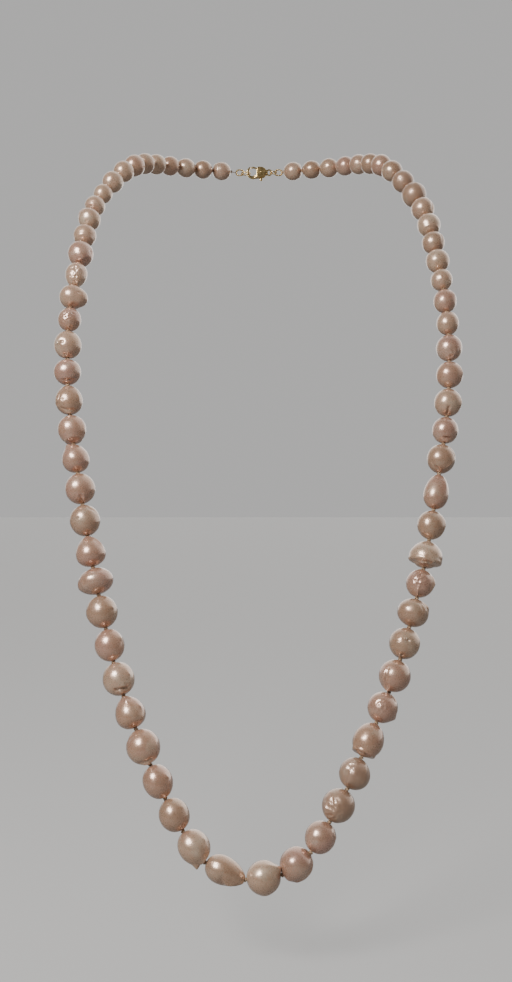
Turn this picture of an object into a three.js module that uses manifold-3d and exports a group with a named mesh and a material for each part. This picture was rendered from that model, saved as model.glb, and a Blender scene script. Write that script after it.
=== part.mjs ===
// A long strand of baroque freshwater pearls, knotted on silk and fastened by a small lobster claw.
// It is modelled as it hangs when worn: millimetres, +Z up, the wearer faces -Y and +X is to the
// right of someone who looks at the wearer. The origin is the middle of the neck, level with the clasp.
import * as THREE from "three";
import { mergeVertices } from "three/addons/utils/BufferGeometryUtils.js";
import Module from "manifold-3d";

const wasm = await Module();
wasm.setup();

// Driving dimensions, mm
const KNOT_GAP = 1.4;
const KNOT_RADIUS = 0.8;
const KNOT_LENGTH = 0.8;
const SLEEVE_RADIUS = 0.9;
const THREAD_RADIUS = 0.3;
const BORE_RADIUS = 0.55;
const CENTRE_OFFSET = 3;
const PAIRS_ON_SHOULDERS = 5;
const PEARL_SIDES = 10;
const PEARL_STEPS = 6;
const CLEARANCE = 0.3;

// Where the middle line of one side runs: out from the centre pearl, up the chest, round the neck.
const SIDE_ROUTE = [
  [0, -121, -307.5], [15.5, -119, -303.5], [30, -113, -285], [42, -106, -262],
  [52, -99, -240], [59.5, -92, -216.5], [65.5, -85.5, -194], [70.5, -79, -170],
  [75, -72.5, -147], [78.2, -66, -124], [79, -59, -101], [78, -50, -80],
  [76.5, -38, -61], [75, -28, -46], [72, -18, -35], [67, -9, -24.5],
  [62, 0, -16], [57, 12, -10], [51.5, 25, -6], [42, 38, -3],
  [29, 48.5, -1], [15, 55, 0], [0, 56.5, 0],
];

// How far the front of the strand hangs to the wearer's right of the middle, and where that begins.
const FRONT_SWAY = -1.8;
const SWAY_TOP = -190;
const SWAY_BOTTOM = -285;

// Each pearl's width across the thread, its length along it, and its taper: above 0 the end away
// from the clasp is the fuller one. The rows run from the clasp end of the shoulder to the front.
const LEFT_PEARLS = [
  [9.7, 9.7, 0], [9.7, 9.7, 0], [8.5, 8.5, 0], [9.1, 9.1, 0.1], [10, 9.1, 0],
  [9.9, 9.4, 0], [11, 11, 0], [9.2, 11.1, -0.1], [10.9, 9.6, 0], [9.6, 9.6, 0],
  [11.2, 11.2, 0], [11, 10.2, 0], [10.9, 11.6, 0.1], [11.3, 11.3, 0], [10.9, 10.9, 0.1],
  [11.8, 11.8, 0], [11.8, 11.8, 0], [11.1, 11.1, 0.2], [13.5, 9.8, 0], [11.7, 12, 0],
  [11.3, 11.6, 0], [12, 12, 0], [11.2, 11.6, 0.15], [12.5, 12.5, 0], [10.9, 11.8, 0],
  [11, 11.6, 0], [11.3, 11.9, 0], [9.8, 14.4, -0.2],
];
const RIGHT_PEARLS = [
  [9.8, 9.8, 0], [10, 10, 0], [11.2, 11, 0], [10.4, 10.2, 0], [10.2, 10.2, 0],
  [9.8, 9.8, 0], [10.1, 10, 0], [9.2, 9.2, 0], [9.7, 9.7, 0], [9.3, 9.3, 0],
  [10.6, 10.6, 0], [10.8, 10.6, 0], [11, 11, 0], [10.3, 10.3, 0], [11.3, 11.3, 0],
  [9.7, 13.8, 0.15], [10.8, 11, 0], [12.5, 10.2, 0.2], [10.7, 10.5, 0], [11.9, 10.3, 0],
  [11.6, 11.4, 0], [11.9, 11.6, 0], [11.2, 11, 0], [11.4, 12.4, 0.1], [10.9, 10.9, 0],
  [11.8, 11.8, 0], [11, 11, 0], [11.7, 11.7, 0],
];
const NAPE_PEARLS = [
  [9.4, 9.4, 0], [9.4, 9.4, 0], [9.6, 9.6, 0], [9.6, 9.6, 0],
  [9.8, 9.8, 0], [9.8, 9.8, 0], [10, 10, 0],
];
const CENTRE_PEARL = [11.6, 11.6, 0];

// The clasp, mm. It lies along X behind the neck, with its hook towards the left strand.
const CLASP_Y = 56.5;
const CLAW_THICKNESS = 3;
const HOOK_THICKNESS = 1.4;
const HOOK_RADIUS = 3.4;
const HOOK_OPENING_RADIUS = 1.9;
const SLOT_THICKNESS = 1.6;
const LEVER_THICKNESS = 1;
const PIN_RADIUS = 0.4;
const RING_WIRE = 0.35;
const HOOK_RING_RADIUS = 2.4;
const EYE_RING_RADIUS = 1.9;
const GIMP_RADIUS = 0.45;

// The finishes
function nacre(colour) {
  return new THREE.MeshStandardMaterial({ color: colour, roughness: 0.22, metalness: 0 });
}

function goldPlate() {
  return new THREE.MeshStandardMaterial({ color: 0xd9b56a, roughness: 0.25, metalness: 1 });
}

function silk() {
  return new THREE.MeshStandardMaterial({ color: 0xcdb497, roughness: 0.85, metalness: 0 });
}

const NACRE_TINTS = [0xe3c9b8, 0xdcc0ae, 0xe8d2c0, 0xd9bcb0];

// Booleans on closed geometries
function toSolid(geometry) {
  const bare = geometry.index ? geometry.toNonIndexed() : geometry.clone();
  bare.deleteAttribute("normal");
  bare.deleteAttribute("uv");
  const merged = mergeVertices(bare, 1e-4);
  return new wasm.Manifold(new wasm.Mesh({
    numProp: 3,
    vertProperties: new Float32Array(merged.attributes.position.array),
    triVerts: new Uint32Array(merged.index.array),
  }));
}

function toGeometry(solid) {
  const mesh = solid.getMesh();
  const geometry = new THREE.BufferGeometry();
  geometry.setAttribute("position", new THREE.BufferAttribute(mesh.vertProperties, 3));
  geometry.setIndex(new THREE.BufferAttribute(mesh.triVerts, 1));
  geometry.computeVertexNormals();
  return geometry;
}

function joinAll(solids) {
  return solids.reduce((whole, solid) => whole.add(solid));
}

// The middle line of the whole strand, from the clasp's left side over the front to its right side
function strandRoute() {
  const sided = (side) => SIDE_ROUTE.map(([x, y, z]) => {
    const hang = THREE.MathUtils.smoothstep(-z, -SWAY_TOP, -SWAY_BOTTOM);
    return new THREE.Vector3(side * x + FRONT_SWAY * hang, y, z);
  });
  const left = sided(-1).reverse();
  const right = sided(1).slice(1);
  const route = new THREE.CatmullRomCurve3([...left, ...right], false, "centripetal");
  route.arcLengthDivisions = 6000;
  return route;
}

const route = strandRoute();
const routeLength = route.getLength();

function pointAt(distance) {
  return route.getPointAt(distance / routeLength);
}

// Knot places: one before the first pearl, one after each pearl, counted outwards from the front
function knotsOutwards(pearls, first, direction) {
  const places = [first];
  for (const [, along] of pearls) {
    places.push(places.at(-1) + direction * (along + KNOT_GAP));
  }
  return places;
}

const outwardsLeft = [...NAPE_PEARLS, ...LEFT_PEARLS].reverse();
const outwardsRight = [...NAPE_PEARLS, ...RIGHT_PEARLS].reverse();
const centreDistance = routeLength / 2 + CENTRE_OFFSET;
const halfCentre = (CENTRE_PEARL[1] + KNOT_GAP) / 2;
const leftKnots = knotsOutwards(outwardsLeft, centreDistance - halfCentre, -1).map(pointAt);
const rightKnots = knotsOutwards(outwardsRight, centreDistance + halfCentre, 1).map(pointAt);

// A drilled pearl is a turned solid round its bore. Its lower end is the one nearer the clasp.
function pearlProfile([across, along, taper], bore) {
  const radius = across / 2;
  const start = Math.asin(Math.max(bore, 0) / radius);
  const points = [];
  for (let step = 0; step <= PEARL_STEPS; step += 1) {
    const angle = start + (Math.PI - 2 * start) * (step / PEARL_STEPS);
    const rise = -(along / 2) * (Math.cos(angle) / Math.cos(start));
    const swell = (Math.sin(angle) - Math.sin(start)) / (1 - Math.sin(start));
    points.push(new THREE.Vector2(bore + (radius - bore) * swell * (1 - taper * Math.cos(angle)), rise));
  }
  if (bore > 0) {
    points.push(points[0].clone());
  }
  return points;
}

function towards(from, to) {
  const up = new THREE.Vector3(0, 1, 0);
  return new THREE.Quaternion().setFromUnitVectors(up, to.clone().sub(from).normalize());
}

function pearlMesh(name, size, clasp, front, tint) {
  const mesh = new THREE.Mesh(
    new THREE.LatheGeometry(pearlProfile(size, BORE_RADIUS), PEARL_SIDES),
    nacre(tint),
  );
  mesh.name = name;
  mesh.position.copy(clasp).add(front).multiplyScalar(0.5);
  mesh.quaternion.copy(towards(clasp, front));
  return mesh;
}

function barBetween(from, to, radius, extra) {
  const length = from.distanceTo(to) + 2 * extra;
  const bar = new THREE.CylinderGeometry(radius, radius, length, 6);
  bar.applyQuaternion(towards(from, to));
  const middle = from.clone().add(to).multiplyScalar(0.5);
  return bar.translate(middle.x, middle.y, middle.z);
}

// Pearls that lie still behind and beside the neck, drawn tight against the knots between them
function pearlRun(name, sizes, knots) {
  const pearls = sizes.map((size, i) => {
    const body = new THREE.LatheGeometry(pearlProfile(size, 0), PEARL_SIDES);
    body.applyQuaternion(towards(knots[i + 1], knots[i]));
    const middle = knots[i].clone().add(knots[i + 1]).multiplyScalar(0.5);
    return toSolid(body.translate(middle.x, middle.y, middle.z));
  });
  const sleeves = knots.slice(1, -1).map((knot, i) => {
    const along = knots[i].clone().sub(knots[i + 2]).setLength(KNOT_GAP);
    return toSolid(barBetween(knot.clone().add(along), knot.clone().sub(along), SLEEVE_RADIUS, 0));
  });
  const bores = knots.slice(1).map((knot, i) => toSolid(barBetween(knots[i], knot, BORE_RADIUS, 0.1)));
  const drilled = joinAll([...pearls, ...sleeves]).subtract(joinAll(bores));
  const mesh = new THREE.Mesh(toGeometry(drilled), nacre(NACRE_TINTS[2]));
  mesh.name = name;
  return mesh;
}

function twoDigits(number) {
  return String(number).padStart(2, "0");
}

function sidePearls(side, pearls, knots) {
  const group = new THREE.Group();
  const count = pearls.length;
  const free = count - PAIRS_ON_SHOULDERS;
  for (let pair = count; pair > PAIRS_ON_SHOULDERS; pair -= 1) {
    const out = count - pair;
    const tint = NACRE_TINTS[(pair * 7 + side.length) % NACRE_TINTS.length];
    const name = `pearl_${side}_${twoDigits(pair)}`;
    group.add(pearlMesh(name, pearls[pair - 1], knots[out + 1], knots[out], tint));
  }
  const shoulder = pearls.slice(0, PAIRS_ON_SHOULDERS).reverse();
  group.add(pearlRun(`shoulder_pearls_${side}`, shoulder, knots.slice(free, count + 1)));
  const nape = [...NAPE_PEARLS].reverse();
  group.add(pearlRun(`nape_pearls_${side}`, nape, knots.slice(count, count + nape.length + 1)));
  return group;
}

// The silk runs straight through each pearl and bends only at the knots.
class ThreadLine extends THREE.Curve {
  constructor(stations) {
    super();
    this.stations = stations;
  }

  getPoint(share, target = new THREE.Vector3()) {
    const place = share * (this.stations.length - 1);
    const index = Math.min(Math.floor(place + 1e-9), this.stations.length - 2);
    return target.lerpVectors(this.stations[index], this.stations[index + 1], place - index);
  }

  getPointAt(share, target) {
    return this.getPoint(share, target);
  }

  getTangentAt(share, target = new THREE.Vector3()) {
    const index = Math.round(share * (this.stations.length - 1));
    const before = this.stations[Math.max(index - 1, 0)];
    const after = this.stations[Math.min(index + 1, this.stations.length - 1)];
    return target.subVectors(after, before).normalize();
  }
}

// Three stations stand for a knot: the silk swells from its own width to the knot's and back.
function knotStations(knots, index, isTied) {
  const here = knots[index];
  if (!isTied(index)) {
    return [here];
  }
  const along = new THREE.Vector3().subVectors(knots[index + 1], knots[index - 1]).setLength(KNOT_LENGTH / 2);
  return [here.clone().sub(along), here, here.clone().add(along)];
}

function silkThread(leftEnd, rightEnd) {
  const knots = [leftEnd, ...[...leftKnots].reverse(), ...rightKnots, rightEnd];
  const hidden = NAPE_PEARLS.length + 1;
  const sleeved = hidden + PAIRS_ON_SHOULDERS;
  const isTied = (index) => {
    const fromEnd = Math.min(index, knots.length - 1 - index);
    return fromEnd === 1 || fromEnd === hidden || fromEnd >= sleeved;
  };
  const stations = [leftEnd];
  const swollen = [];
  for (let index = 1; index < knots.length - 1; index += 1) {
    const places = knotStations(knots, index, isTied);
    if (places.length > 1) {
      swollen.push(stations.length + 1);
    }
    stations.push(...places);
  }
  stations.push(rightEnd);
  const section = new THREE.Shape().absarc(0, 0, THREAD_RADIUS, 0, 2 * Math.PI);
  const geometry = new THREE.ExtrudeGeometry(section, {
    curveSegments: 3,
    steps: stations.length - 1,
    extrudePath: new ThreadLine(stations),
  });
  const place = geometry.attributes.position;
  const vertex = new THREE.Vector3();
  for (let i = 0; i < place.count; i += 1) {
    vertex.fromBufferAttribute(place, i);
    const station = swollen.find((at) => stations[at].distanceTo(vertex) < THREAD_RADIUS + 0.01);
    if (station !== undefined) {
      vertex.sub(stations[station]).setLength(KNOT_RADIUS).add(stations[station]);
      place.setXYZ(i, vertex.x, vertex.y, vertex.z);
    }
  }
  const mesh = new THREE.Mesh(geometry, silk());
  mesh.name = "silk_thread";
  return mesh;
}

// Flat outlines for the clasp lie in X and Z and are given their thickness along Y.
function plate(shape, thickness, segments = 7) {
  const body = new THREE.ExtrudeGeometry(shape, {
    depth: thickness,
    bevelEnabled: false,
    curveSegments: segments,
  });
  return toSolid(body.translate(0, 0, -thickness / 2).rotateX(Math.PI / 2));
}

function disc(x, z, radius) {
  return new THREE.Shape().absarc(x, z, radius, 0, 2 * Math.PI);
}

function outline(points) {
  return new THREE.Shape(points.map(([x, z]) => new THREE.Vector2(x, z)));
}

const HOOK_CENTRE = [-2.6, 0];
const OPENING_CENTRE = [-2.9, 0];
const PIVOT = [1.5, 0];
const EYE_CENTRE = [6, 0];
const EYE_RADIUS = 1.8;
const EYE_HOLE_RADIUS = 1.05;
const EYE_THICKNESS = 1;
const GATE_START = 12;
const GATE_END = 112;
// The lever's tip swings in past the hook's end, so both are cut to arcs about the pin
const HOOK_END_REACH = 6;
const LEVER_REACH = HOOK_END_REACH - CLEARANCE;
const LEVER_START = 6;
const LEVER_END = 130;

function clawBody() {
  const hook = plate(disc(...HOOK_CENTRE, HOOK_RADIUS), HOOK_THICKNESS, 12);
  const cheeks = plate(
    outline([[-0.6, -2.9], [2.6, -2.7], [4.4, -1.6], [4.4, 1.6], [2.6, 2.7], [-0.2, 2.9], [-0.6, 2]]),
    CLAW_THICKNESS,
  );
  const tongue = plate(outline([[3.6, -1.2], [5.4, -1.2], [5.4, 1.2], [3.6, 1.2]]), EYE_THICKNESS);
  const eye = plate(disc(...EYE_CENTRE, EYE_RADIUS), EYE_THICKNESS);
  const opening = plate(disc(...OPENING_CENTRE, HOOK_OPENING_RADIUS), CLAW_THICKNESS + 1, 10);
  const reach = HOOK_RADIUS * 2;
  const edge = (degrees) => {
    const angle = THREE.MathUtils.degToRad(degrees);
    return [HOOK_CENTRE[0] + reach * Math.cos(angle), HOOK_CENTRE[1] + reach * Math.sin(angle)];
  };
  const middle = (GATE_START + GATE_END) / 2;
  const gate = plate(
    outline([HOOK_CENTRE, edge(GATE_START), edge(middle), edge(GATE_END)]),
    HOOK_THICKNESS + 1,
  );
  const sweep = new THREE.Shape();
  sweep.absarc(...PIVOT, HOOK_END_REACH, THREE.MathUtils.degToRad(130), THREE.MathUtils.degToRad(177));
  sweep.lineTo(HOOK_CENTRE[0], 0.3);
  const hookEnd = plate(sweep, HOOK_THICKNESS + 1);
  const ring = hook.subtract(gate).subtract(hookEnd).add(cheeks).subtract(opening);
  const slot = plate(
    outline([[-0.9, -1.2], [0.4, -1.2], [0.4, -5], [3.5, -5], [3.5, 5], [-0.9, 5]]),
    SLOT_THICKNESS,
  );
  const pinHole = plate(disc(...PIVOT, PIN_RADIUS + CLEARANCE), CLAW_THICKNESS + 1, 6);
  const eyeHole = plate(disc(...EYE_CENTRE, EYE_HOLE_RADIUS), CLAW_THICKNESS + 1, 8);
  return ring.subtract(slot).subtract(pinHole).add(tongue).add(eye).subtract(eyeHole);
}

function leverBody() {
  const [x, z] = HOOK_CENTRE;
  const from = THREE.MathUtils.degToRad(LEVER_START);
  const to = THREE.MathUtils.degToRad(LEVER_END);
  const arc = new THREE.Shape();
  arc.absarc(x, z, HOOK_RADIUS - CLEARANCE, from, to, false);
  arc.absarc(x, z, HOOK_RADIUS - 1.2, to, from, true);
  const reach = plate(disc(...PIVOT, LEVER_REACH), LEVER_THICKNESS + 1, 16);
  const arm = plate(arc, LEVER_THICKNESS, 8).intersect(reach);
  const hub = disc(...PIVOT, 1.2);
  const tail = outline([[1.2, -4.2], [2.2, -4.2], [2.3, -0.4], [1.1, -0.4]]);
  const pinHole = plate(disc(...PIVOT, PIN_RADIUS + CLEARANCE), CLAW_THICKNESS, 6);
  const blades = [hub, tail].map((shape) => plate(shape, LEVER_THICKNESS, 8));
  return joinAll([arm, ...blades]).subtract(pinHole);
}

// A short bent leaf between the base of the slot and the lever's tail, which keeps the gate shut
function springLeaf() {
  const leaf = outline([[3, 1.7], [3, -1.5], [2.65, -2.3], [2.75, -2.4], [3.2, -1.6], [3.2, 1.7]]);
  return plate(leaf, LEVER_THICKNESS - 0.2);
}

function goldMesh(name, geometry) {
  const mesh = new THREE.Mesh(geometry, goldPlate());
  mesh.name = name;
  return mesh;
}

function oval(name, x, halfLength, halfWidth) {
  const loop = new THREE.TorusGeometry(halfWidth, GIMP_RADIUS, 8, 14);
  const stretched = loop.attributes.position;
  for (let i = 0; i < stretched.count; i += 1) {
    const side = Math.sign(stretched.getX(i));
    stretched.setX(i, stretched.getX(i) + side * (halfLength - halfWidth));
  }
  const mesh = goldMesh(name, loop);
  mesh.rotation.x = Math.PI / 2;
  mesh.position.x = x;
  return mesh;
}

function ringMesh(name, radius, x, z) {
  const mesh = goldMesh(name, new THREE.TorusGeometry(radius, RING_WIRE, 6, 18));
  mesh.position.set(x, 0, z);
  return mesh;
}

const HOOK_RING_X = -4.05 - HOOK_RING_RADIUS;
const HOOK_RING_Z = -0.5;
const EYE_RING_X = EYE_CENTRE[0] + EYE_HOLE_RADIUS - CLEARANCE - RING_WIRE + EYE_RING_RADIUS;
const GIMP_HALF_LENGTH = 1.9;
const GIMP_HALF_WIDTH = 1.5;
const GIMP_INSET = RING_WIRE + CLEARANCE + GIMP_RADIUS - GIMP_HALF_LENGTH;
const LEFT_GIMP_X = HOOK_RING_X - HOOK_RING_RADIUS + GIMP_INSET;
const RIGHT_GIMP_X = EYE_RING_X + EYE_RING_RADIUS - GIMP_INSET;

function clasp() {
  const group = new THREE.Group();
  const rivet = new THREE.CylinderGeometry(PIN_RADIUS, PIN_RADIUS, CLAW_THICKNESS, 12);
  const pin = goldMesh("clasp_pin", rivet);
  pin.position.set(PIVOT[0], 0, PIVOT[1]);
  group.add(goldMesh("clasp_claw", toGeometry(clawBody())));
  group.add(goldMesh("clasp_lever", toGeometry(leverBody())));
  group.add(pin);
  group.add(goldMesh("clasp_spring", toGeometry(springLeaf())));
  group.add(ringMesh("jump_ring", HOOK_RING_RADIUS, HOOK_RING_X, HOOK_RING_Z));
  group.add(ringMesh("eye_ring", EYE_RING_RADIUS, EYE_RING_X, 0));
  group.add(oval("wire_loop_left", LEFT_GIMP_X, GIMP_HALF_LENGTH, GIMP_HALF_WIDTH));
  group.add(oval("wire_loop_right", RIGHT_GIMP_X, GIMP_HALF_LENGTH, GIMP_HALF_WIDTH));
  group.position.set(0, CLASP_Y, 0);
  return group;
}

function threadEnd(x, away) {
  const reach = GIMP_HALF_LENGTH + GIMP_RADIUS + CLEARANCE;
  return new THREE.Vector3(x + away * reach, CLASP_Y, 0);
}

const necklace = new THREE.Group();
necklace.add(sidePearls("left", LEFT_PEARLS, leftKnots));
necklace.add(sidePearls("right", RIGHT_PEARLS, rightKnots));
necklace.add(pearlMesh("pearl_centre", CENTRE_PEARL, leftKnots[0], rightKnots[0], NACRE_TINTS[2]));
necklace.add(silkThread(threadEnd(LEFT_GIMP_X, -1), threadEnd(RIGHT_GIMP_X, 1)));
necklace.add(clasp());

export default necklace;
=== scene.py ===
import math

import bpy
import numpy as np
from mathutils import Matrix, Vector


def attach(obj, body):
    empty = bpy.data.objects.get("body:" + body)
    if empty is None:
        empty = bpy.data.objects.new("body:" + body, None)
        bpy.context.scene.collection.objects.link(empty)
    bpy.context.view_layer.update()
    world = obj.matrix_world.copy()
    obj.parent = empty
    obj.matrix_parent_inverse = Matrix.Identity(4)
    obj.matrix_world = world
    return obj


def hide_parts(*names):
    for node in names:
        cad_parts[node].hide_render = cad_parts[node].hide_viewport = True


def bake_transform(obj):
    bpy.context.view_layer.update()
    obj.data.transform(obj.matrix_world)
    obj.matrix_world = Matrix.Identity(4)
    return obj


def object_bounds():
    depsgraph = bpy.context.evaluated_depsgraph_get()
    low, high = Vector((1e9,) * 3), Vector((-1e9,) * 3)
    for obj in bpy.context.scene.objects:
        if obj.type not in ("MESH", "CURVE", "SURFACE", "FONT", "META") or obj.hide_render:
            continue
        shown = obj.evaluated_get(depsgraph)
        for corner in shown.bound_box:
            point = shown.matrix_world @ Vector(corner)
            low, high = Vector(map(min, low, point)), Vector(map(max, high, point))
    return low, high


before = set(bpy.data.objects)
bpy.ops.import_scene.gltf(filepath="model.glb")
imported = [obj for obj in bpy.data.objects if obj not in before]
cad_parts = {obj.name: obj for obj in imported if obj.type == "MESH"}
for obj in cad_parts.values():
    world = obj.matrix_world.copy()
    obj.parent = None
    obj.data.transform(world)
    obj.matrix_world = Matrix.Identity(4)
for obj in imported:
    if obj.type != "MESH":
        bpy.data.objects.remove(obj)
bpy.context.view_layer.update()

# The camera isn't a piece of the necklace. It stands level in front of the wearer's chest, about as
# far away as a phone is held.
CAMERA_PLACE = (-0.001, -0.468, -0.170)
CAMERA_LENS = 36
CAMERA_SENSOR = 36

camera_data = bpy.data.cameras.new("camera")
camera_data.lens = CAMERA_LENS
camera_data.sensor_width = CAMERA_SENSOR
camera_data.clip_start = 0.01
camera = bpy.data.objects.new("camera", camera_data)
camera.location = CAMERA_PLACE
camera.rotation_euler = (math.radians(90), 0, 0)
bpy.context.scene.collection.objects.link(camera)
bpy.context.scene.camera = camera

# The strand's line, as it hangs on the wearer: pearls and knots are laid out along it, from the
# front outwards to the clasp. One side is given, in millimetres; the other mirrors it, and the front
# hangs a little to one side.
SIDE_ROUTE = [
    (0, -121, -307.5), (15.5, -119, -303.5), (30, -113, -285), (42, -106, -262),
    (52, -99, -240), (59.5, -92, -216.5), (65.5, -85.5, -194), (70.5, -79, -170),
    (75, -72.5, -147), (78.2, -66, -124), (79, -59, -101), (78, -50, -80),
    (76.5, -38, -61), (75, -28, -46), (72, -18, -35), (67, -9, -24.5),
    (62, 0, -16), (57, 12, -10), (51.5, 25, -6), (42, 38, -3),
    (29, 48.5, -1), (15, 55, 0), (0, 56.5, 0),
]
FRONT_SWAY = -1.8
SWAY_TOP, SWAY_BOTTOM = 190, 285
ROUTE_STEPS = 6000


def swayed(side, x, y, z):
    share = min(max((-z - SWAY_TOP) / (SWAY_BOTTOM - SWAY_TOP), 0), 1)
    return (side * x + FRONT_SWAY * share * share * (3 - 2 * share), y, z)


def strand_line(points):
    """Many close points on the centripetal Catmull-Rom curve through the route's points."""
    ends = [2 * points[0] - points[1], *points, 2 * points[-1] - points[-2]]
    line = []
    for step in range(ROUTE_STEPS + 1):
        place = (len(points) - 1) * step / ROUTE_STEPS
        span = min(int(place), len(points) - 2)
        t = place - span
        a, b, c, d = ends[span:span + 4]
        first, second, third = (np.linalg.norm(q - p) ** 0.5 for p, q in ((a, b), (b, c), (c, d)))
        leave = ((b - a) / first - (c - a) / (first + second) + (c - b) / second) * second
        arrive = ((c - b) / second - (d - b) / (second + third) + (d - c) / third) * second
        line.append(
            (2 * t**3 - 3 * t**2 + 1) * b + (t**3 - 2 * t**2 + t) * leave
            + (3 * t**2 - 2 * t**3) * c + (t**3 - t**2) * arrive
        )
    return np.array(line)


left_half = [np.array(swayed(-1, *p), float) for p in SIDE_ROUTE]
right_half = [np.array(swayed(1, *p), float) for p in SIDE_ROUTE]
line = strand_line(left_half[::-1] + right_half[1:])
reach = np.concatenate([[0], np.cumsum(np.linalg.norm(np.diff(line, axis=0), axis=1))])


def on_strand(distance):
    return np.array([np.interp(distance, reach, line[:, i]) for i in range(3)])


# The pearls: solid nacre from freshwater mussels, which no mould shapes, so each has its own size,
# body colour and marks. They are drilled through and strung with the larger ones to the front.
#
# A row gives the width across the thread, the length along it, the taper (above 0 the end away from
# the clasp is fuller), the finish, and the marks that the nacre grew over. Each mark starts with
# where it is, around and up, in degrees: around 0 faces out from the chest and 90 to the right, seen
# from in front; up 90 is the pearl's clasp end and -90 its other end. Then come:
#   tail: length and width of a point      fold, crease: where it ends, height or depth, width
#   ring: turn from its middle, height, width      dent: depth, width
#   wrinkle: spread, height      lobe: size and offset of a second, grown-on pearl
# Lengths are shares of the pearl's radius, and widths and turns are in degrees.
LEFT_PEARLS = [
    (9.7, 9.7, 0, "cream", []),
    (9.7, 9.7, 0, "cream", [("dent", 20, -40, 0.05, 18)]),
    (8.5, 8.5, 0, "cream", []),
    (9.1, 9.1, 0.1, "cream", [("ring", 0, -90, 42, 0.02, 6)]),
    (10, 9.1, 0, "cream", [("tail", -82, 38, 0.34, 11), ("ring", -82, 38, 30, 0.025, 8)]),
    (9.9, 9.4, 0, "cream", [("ring", 0, -90, 50, 0.02, 8)]),
    (11, 11, 0, "rose", [("tail", 40, -58, 0.12, 26), ("crease", 60, 50, 62, -60, 0.04, 7)]),
    (9.2, 11.1, -0.1, "cream", [
        ("crease", -20, 60, 25, -62, 0.06, 8), ("fold", 5, 62, 48, -60, 0.06, 9),
        ("wrinkle", 10, -20, 45, 0.018),
    ]),
    (10.9, 9.6, 0, "cream", [("lobe", 78, -14, 0.74, 0.52), ("crease", 42, 60, 38, -70, 0.05, 7)]),
    (9.6, 9.6, 0, "rose", [
        ("fold", 4, 74, 14, -68, 0.075, 8), ("crease", 22, 70, 30, -60, 0.045, 6),
        ("wrinkle", -8, -20, 34, 0.022),
    ]),
    (11.2, 11.2, 0, "cream", [
        ("fold", -34, 48, -26, -72, 0.10, 7), ("crease", -16, 50, -10, -66, 0.05, 7),
        ("dent", 14, 18, 0.035, 26),
    ]),
    (11, 10.2, 0, "rose", [("crease", -40, -52, 45, -56, 0.045, 6), ("dent", 0, -78, 0.05, 14)]),
    (10.9, 11.6, 0.1, "champagne", [
        ("wrinkle", -48, -6, 30, 0.026), ("fold", 48, 48, 58, -48, 0.05, 9),
        ("tail", -14, -74, 0.10, 12), ("tail", 24, -74, 0.10, 12),
        ("crease", -50, -38, 30, -62, 0.045, 6),
    ]),
    (11.3, 11.3, 0, "peach", [("ring", 20, -80, 34, 0.02, 6), ("fold", 70, 40, 62, -60, 0.03, 8)]),
    (10.9, 10.9, 0.1, "rose", [("tail", -50, 58, 0.22, 12), ("fold", -44, 56, 4, 52, 0.04, 8)]),
    (11.8, 11.8, 0, "peach", [
        ("crease", 12, -34, 4, -74, 0.05, 6), ("fold", 24, -30, 24, -70, 0.04, 6),
        ("wrinkle", 8, -56, 22, 0.022),
    ]),
    (11.8, 11.8, 0, "champagne", [
        ("crease", -62, -6, -14, 2, 0.03, 4), ("crease", 20, 44, 62, 18, 0.02, 5),
    ]),
    (11.1, 11.1, 0.2, "rose", [("tail", 0, 84, 0.14, 22), ("fold", 30, 62, 74, 10, 0.05, 6)]),
    (13.5, 9.8, 0, "rose", [
        ("crease", -66, 40, -50, -52, 0.035, 6), ("crease", -38, 44, -28, -50, 0.028, 6),
        ("tail", -92, -16, 0.10, 24), ("dent", 16, 40, 0.03, 22),
    ]),
    (11.7, 12, 0, "champagne", [("fold", 46, 62, 60, -62, 0.05, 7), ("wrinkle", -74, -10, 26, 0.018)]),
    (11.3, 11.6, 0, "peach", [("fold", 56, 66, 64, -50, 0.06, 9), ("tail", 8, -82, 0.08, 12)]),
    (12, 12, 0, "cream", [
        ("fold", 44, 56, 62, -56, 0.05, 8), ("crease", -24, -38, 44, -44, 0.06, 6),
        ("fold", -10, -56, 44, -62, 0.05, 6), ("wrinkle", 24, -42, 22, 0.026),
    ]),
    (11.2, 11.6, 0.15, "peach", [
        ("tail", 8, 70, 0.10, 13), ("fold", 8, 66, 16, 36, 0.05, 6), ("fold", 54, 50, 64, -48, 0.05, 8),
    ]),
    (12.5, 12.5, 0, "peach", [
        ("crease", -88, 26, -18, 66, 0.045, 7), ("crease", -76, 4, -20, 46, 0.025, 5),
        ("fold", -48, -56, 20, -66, 0.085, 6), ("crease", -50, -44, 26, -54, 0.05, 5),
        ("fold", 58, 46, 66, -54, 0.05, 8),
    ]),
    (10.9, 11.8, 0, "rose", [("fold", 48, 56, 60, -58, 0.05, 8), ("tail", 24, -76, 0.09, 12)]),
    (11, 11.6, 0, "champagne", [("fold", 40, 64, 66, -50, 0.04, 8), ("crease", 22, -70, 40, -60, 0.05, 8)]),
    (11.3, 11.9, 0, "cream", [
        ("tail", -62, -58, 0.30, 10), ("fold", -40, -66, 30, -62, 0.05, 8),
        ("fold", 60, 48, 66, -52, 0.04, 8),
    ]),
    (9.8, 14.4, -0.2, "champagne", [
        ("crease", 4, 6, -64, -12, 0.045, 10), ("fold", -40, 4, -34, -66, 0.05, 14),
        ("wrinkle", -6, -52, 30, 0.014),
    ]),
]
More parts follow.
